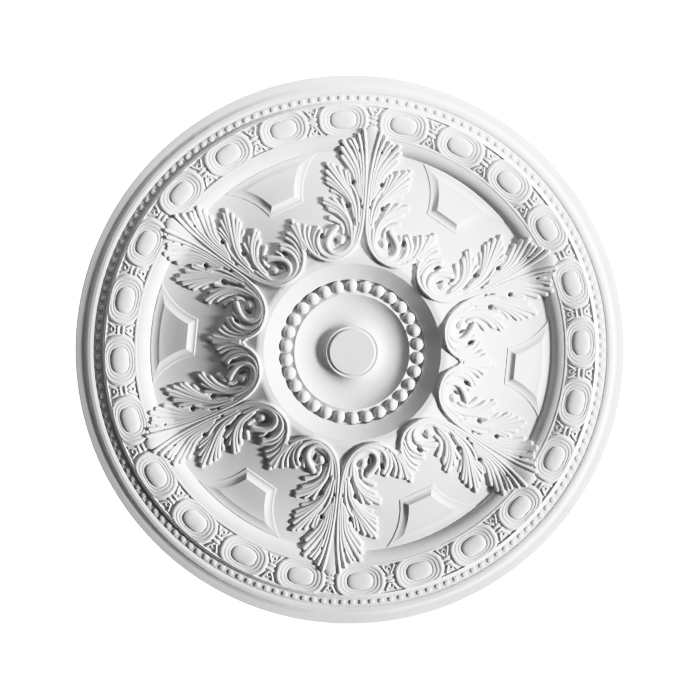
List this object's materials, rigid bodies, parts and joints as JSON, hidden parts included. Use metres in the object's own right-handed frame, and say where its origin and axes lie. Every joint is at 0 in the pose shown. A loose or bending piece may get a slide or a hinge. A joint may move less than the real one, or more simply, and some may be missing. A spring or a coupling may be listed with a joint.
{
  "type": "ceiling rose",
  "caption": "Round moulded ceiling rose with acanthus sprays, an egg band, bead rows and a beaded centre dish; its flat back fixes to a ceiling round a lamp's hook.",
  "frame": {"origin": "centre of the flat back, which meets the ceiling", "axes": "+Z out of the ornament, away from the back; +Y along one leaf's axis; +X to the right of it"},
  "size_m": [0.8, 0.8, 0.0577],
  "materials": {
    "white_moulding": "matt white primed hard foam, cast in one piece"
  },
  "bodies": {
    "root": {"ceiling_rose": "white_moulding"}
  },
  "joints": []
}
